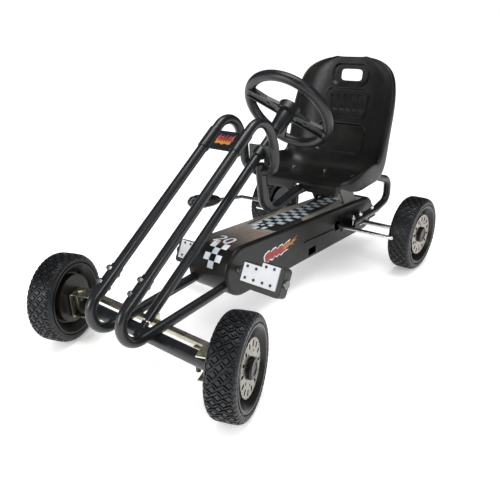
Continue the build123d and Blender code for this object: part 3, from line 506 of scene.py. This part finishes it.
ink_white = ink("ink_white", (0.50, 0.56, 0.60, 1), (0.66, 0.72, 0.76, 1))
ink_blue_white = ink("ink_blue_white", (0.36, 0.44, 0.48, 1), (0.52, 0.60, 0.64, 1))
ink_black = ink("ink_black", grey(0.010), grey(0.018))
ink_red = ink("ink_red", (0.22, 0.014, 0.012, 1), (0.34, 0.03, 0.022, 1))
ink_orange = ink("ink_orange", (0.26, 0.08, 0.008, 1), (0.4, 0.16, 0.015, 1))
ink_dark_red = ink("ink_dark_red", (0.12, 0.01, 0.01, 1), (0.2, 0.02, 0.015, 1))
ink_rose = ink("ink_rose", (0.18, 0.025, 0.03, 1), (0.30, 0.06, 0.06, 1))
ink_amber = ink("ink_amber", (0.26, 0.10, 0.012, 1), (0.40, 0.19, 0.03, 1))
ink_brown = ink("ink_brown", (0.20, 0.10, 0.06, 1), (0.28, 0.16, 0.10, 1))

# Silver print on the case's top, its colour ramped from near black at the front barrel to grey-brown further
# back. The print is real; the grey-brown brightening towards the back is painted reflection of the bright
# studio.
silver_print_and_sheen, silver_tree, silver_shader, silver_where = new_material("ink_silver_print_and_sheen")
split = silver_tree.nodes.new("ShaderNodeSeparateXYZ")
silver_tree.links.new(silver_where, split.inputs["Vector"])
# Painted reflection: the sheet's colour brightens from x = 540 back to x = 380.
sheen_fade = silver_tree.nodes.new("ShaderNodeMapRange")
sheen_fade.inputs["From Min"].default_value = (540 - MID_X) / 1000
sheen_fade.inputs["From Max"].default_value = (380 - MID_X) / 1000
silver_tree.links.new(split.outputs["X"], sheen_fade.inputs["Value"])
mottle = noise_at(silver_tree, silver_where, 220.0, 4.0, 0.6)
add = silver_tree.nodes.new("ShaderNodeMath")
add.operation = "MULTIPLY_ADD"
add.inputs[1].default_value = 0.16
silver_tree.links.new(mottle, add.inputs[0])
silver_tree.links.new(sheen_fade.outputs["Result"], add.inputs[2])
print_and_sheen_tone = ramp(silver_tree, add.outputs[0], [
    (0.05, (0.020, 0.018, 0.016, 1)), (0.35, (0.085, 0.074, 0.062, 1)),
    (0.75, (0.19, 0.17, 0.145, 1)), (1.1, (0.26, 0.24, 0.21, 1))])
silver_tree.links.new(print_and_sheen_tone, silver_shader.inputs["Base Color"])
silver_gloss = remap(silver_tree, noise_at(silver_tree, silver_where, 60.0), 0.34, 0.46)
silver_tree.links.new(silver_gloss, silver_shader.inputs["Roughness"])

# Outlines on the case's top are in s and y, as case_top takes them.
sheet = [(-30, 50), (-24, -44), (-6, -52), (560, -52), (560, 52), (-8, 52)]
# The silver print, carrying painted reflection in its colour.
top_sheet = print_patch("top_sheet", [sheet], case_top, silver_print_and_sheen)
band = [(104, -4), (128, 30), (126, 46), (134, 54), (243, 54), (262, 34), (300, 33), (410, 27), (475, 14),
        (520, -20), (520, -50), (484, -52), (366, -27), (180, -27), (150, -20)]
print_patch("top_band", [band], lambda s, y: case_top(s, min(y, 51.8), 0.5), ink_black)
CELL_S, CELL_Y = 18.0, 19.5


def cell_at(s, y, length=CELL_S, width=CELL_Y):
    """A rectangle round a place on the case's top."""
    corners = [(-1, -1), (-1, 1), (1, 1), (1, -1)]
    return [(s + i * length / 2, y + j * width / 2) for i, j in corners]


PITCH_S = 2 * CELL_S
cells = [cell_at(190 + PITCH_S * k, -17.0) for k in range(10)]
cells += [cell_at(172 + PITCH_S * k, 2.5) for k in range(10)]
cells += [cell_at(190 + PITCH_S * k, 22.0) for k in range(4)]
print_patch("top_checks", cells, lambda s, y: case_top(s, y, 0.7), ink_blue_white)
tip = [cell_at(136, -17, 22, 14), cell_at(118, -2, 20, 12), cell_at(130, 15, 18, 10),
       cell_at(158, 14, 15, 12), cell_at(160, -21, 16, 9), cell_at(148, -4, 12, 8)]
print_patch("tip_checks", tip, lambda s, y: case_top(s, y, 0.7), ink_white)
streaks = [[(60, 40), (112, 46), (112, 41), (70, 34)], [(50, 26), (104, 34), (104, 28), (58, 21)],
           [(66, 12), (100, 18), (98, 12), (74, 7)], [(58, -6), (96, 4), (96, -2), (64, -12)],
           [(52, -24), (110, -20), (104, -26), (60, -30)]]
print_patch("top_streaks", streaks, lambda s, y: case_top(s, y, 0.45), ink_brown)
dark_bars = [[(123, -36), (140, -33), (256, -42), (262, -46), (140, -40)],
             [(150, -45), (176, -50), (262, -52), (250, -48), (180, -45)]]
print_patch("top_bars", dark_bars, lambda s, y: case_top(s, y, 0.45), ink_black)

# Six checks round the front barrel, each at an angle above the horizontal.
front = []
for angle, y in ((71, 25.5), (71, -7.5), (55, 9.0), (39, -7.5), (39, 25.5), (23, 9.0)):
    front.append(cell_at(BARREL_R * (radians(angle) - pi / 2 - TOP_LEAN), y, 16.75, 16.5))
print_patch("front_checks", front, lambda s, y: case_top(s, y, 0.6), ink_white)
NUMBER_SIZE = 52.0
text_outline("20", NUMBER_SIZE, "number_shadow", lambda x, y: case_top(-2 + y, 3 + x * 0.98, 0.5),
             ink_dark_red, 1.8)
text_outline("20", NUMBER_SIZE, "number", lambda x, y: case_top(1 + y, 1 + x * 0.98, 0.75), ink_white, 0.6)

# A jagged flame on the side, its tongues pointing back, drawn from its head at the front.
FLAME_UPPER = [(446, 147), (440, 153), (424, 156), (420, 151), (410, 155), (400, 156), (394, 150),
               (384, 154), (372, 154), (370, 149), (358, 153), (340, 155)]
FLAME_LOWER = [(352, 143), (362, 137), (348, 133), (368, 132), (380, 128), (386, 133), (396, 129),
               (402, 134), (414, 128), (424, 133), (436, 127), (444, 133)]
FLAME_MID = (396, 142)


def grown_flame(factor):
    """The flame grown about its middle, by more in height than in length."""
    tall = factor + (factor - 1) * 2.2
    mid_x, mid_z = FLAME_MID
    return [(mid_x + (x - mid_x) * factor, mid_z + (z - mid_z) * tall) for x, z in FLAME_UPPER + FLAME_LOWER]


print_patch("flame_outline", [grown_flame(1.04)], lambda x, z: case_side(x, z, 0.3), ink_white)
print_patch("flame", [grown_flame(0.97)], lambda x, z: case_side(x, z, 0.45), ink_red)
tail = [(372, 147), (352, 150), (338, 148), (330, 152), (306, 158), (324, 149), (310, 148), (332, 143),
        (322, 138), (344, 141), (358, 137), (372, 140)]
print_patch("flame_tail", [tail], lambda x, z: case_side(x, z, 0.6), ink_orange)
licks = [[(436, 136), (438, 148), (428, 145)], [(420, 136), (416, 150), (410, 146)],
         [(402, 137), (402, 149), (392, 150)], [(386, 137), (382, 149), (376, 144)]]
print_patch("flame_licks", licks, lambda x, z: case_side(x, z, 0.6), ink_dark_red)

# Flames on the badge panel between the two front tubes.
TUBE_LEAN = radians(34.97)
PANEL_MID = (496.5, 246.8 + (750 - 496.5) * tan(TUBE_LEAN))


def badge(y, u, lift=2.3):
    """A point on the panel: y across it, u mm up the tubes from its middle."""
    x = PANEL_MID[0] - u * cos(TUBE_LEAN) + lift * sin(TUBE_LEAN)
    return P(x, y, PANEL_MID[1] + u * sin(TUBE_LEAN) + lift * cos(TUBE_LEAN))


def tongues(low, high, count, lean, half=24):
    """A row of flame tongues between two heights."""
    line = [(-half, low)]
    for k in range(count):
        left = -half + 2 * half * k / count
        step = 2 * half / count
        reach = high - (2.5 if k % 2 else 0)
        line.append((left + step * 0.15, low + (high - low) * 0.45))
        line.append((left + step * 0.45 + lean, reach))
        line.append((left + step * 0.8, low + (high - low) * 0.4))
    line += [(half, low), (half - 4, low - 3), (half * 0.3, low - 1)]
    line += [(0, low - 5), (-half * 0.4, low - 1), (-half + 3, low - 3)]
    return line


print_patch("badge_red", [tongues(0, 18, 5, 3)], lambda x, y: badge(x, y, 2.3), ink_rose)
print_patch("badge_orange", [tongues(-8, 3, 6, -2, 22)], lambda x, y: badge(x, y, 2.5), ink_amber)
print_patch("badge_core", [tongues(3, 12, 5, 3, 18)], lambda x, y: badge(x, y, 2.7), ink_dark_red)

# ---------------------------------------------------------------- floor, light, camera
FLOOR_HALF, FLOOR_Z = 30.0, -0.0005
corners = [(i * FLOOR_HALF, j * FLOOR_HALF, FLOOR_Z) for i, j in ((-1, -1), (1, -1), (1, 1), (-1, 1))]
floor = make_object("floor", corners, [(0, 1, 2, 3)], None, [])
material, tree, shader, where = new_material("studio_floor")
shader.inputs["Base Color"].default_value = (0.9, 0.9, 0.9, 1)
shader.inputs["Emission Color"].default_value = (1, 1, 1, 1)
shader.inputs["Emission Strength"].default_value = 0.25
shader.inputs["Specular IOR Level"].default_value = 0.0
tree.links.new(remap(tree, noise_at(tree, where, 3.0), 0.1, 0.16), shader.inputs["Roughness"])
floor.data.materials.append(material)

world = bpy.data.worlds.new("studio")
bpy.context.scene.world = world
world.use_nodes = True
sky = world.node_tree
sky.nodes["Background"].inputs["Color"].default_value = (1, 1, 1, 1)
sky.nodes["Background"].inputs["Strength"].default_value = 1.0
# Glossy surfaces see a much dimmer studio, so that blacks stay black beside the white ground.
dim = sky.nodes.new("ShaderNodeBackground")
dim.inputs["Color"].default_value = (0.86, 0.92, 1.0, 1)
dim.inputs["Strength"].default_value = 0.09
seen = sky.nodes.new("ShaderNodeLightPath")
choose = sky.nodes.new("ShaderNodeMixShader")
sky.links.new(seen.outputs["Is Glossy Ray"], choose.inputs["Fac"])
sky.links.new(sky.nodes["Background"].outputs["Background"], choose.inputs[1])
sky.links.new(dim.outputs["Background"], choose.inputs[2])
sky.links.new(choose.outputs["Shader"], sky.nodes["World Output"].inputs["Surface"])


def soft_light(name, place, aim, size, power):
    data = bpy.data.lights.new(name, "AREA")
    data.shape = "RECTANGLE"
    data.size, data.size_y = size
    data.energy = power
    light = bpy.data.objects.new(name, data)
    bpy.context.scene.collection.objects.link(light)
    light.location = place
    light.rotation_euler = (Vector(aim) - Vector(place)).to_track_quat("-Z", "Y").to_euler()


soft_light("top", (-0.1, 0.2, 2.6), (0.0, 0.0, 0.0), (1.3, 1.3), 34)
soft_light("front", (2.2, -0.5, 0.9), (0.1, 0.0, 0.1), (0.7, 0.9), 22)
soft_light("left", (0.9, 2.3, 1.7), (0.0, 0.0, 0.2), (0.6, 0.6), 12)

YAW, PITCH, ROLL = -2.4495, -0.4153, -0.0358
EYE = P(1362.10, 777.06, 679.37)
forward = Vector((cos(PITCH) * cos(YAW), cos(PITCH) * sin(YAW), sin(PITCH)))
right = forward.cross(Vector((0, 0, 1))).normalized()
up = right.cross(forward)
rolled_right = cos(ROLL) * right + sin(ROLL) * up
rolled_up = -sin(ROLL) * right + cos(ROLL) * up
camera_data = bpy.data.cameras.new("camera")
camera_data.sensor_width = 36.0
camera_data.lens = 39.17
camera_data.clip_start = 0.01
camera = bpy.data.objects.new("camera", camera_data)
bpy.context.scene.collection.objects.link(camera)
aim = Matrix((rolled_right, rolled_up, -forward)).transposed().to_4x4()
camera.matrix_world = Matrix.Translation(EYE) @ aim
bpy.context.scene.camera = camera
bpy.context.scene.view_settings.view_transform = "Standard"

bpy.context.view_layer.update()
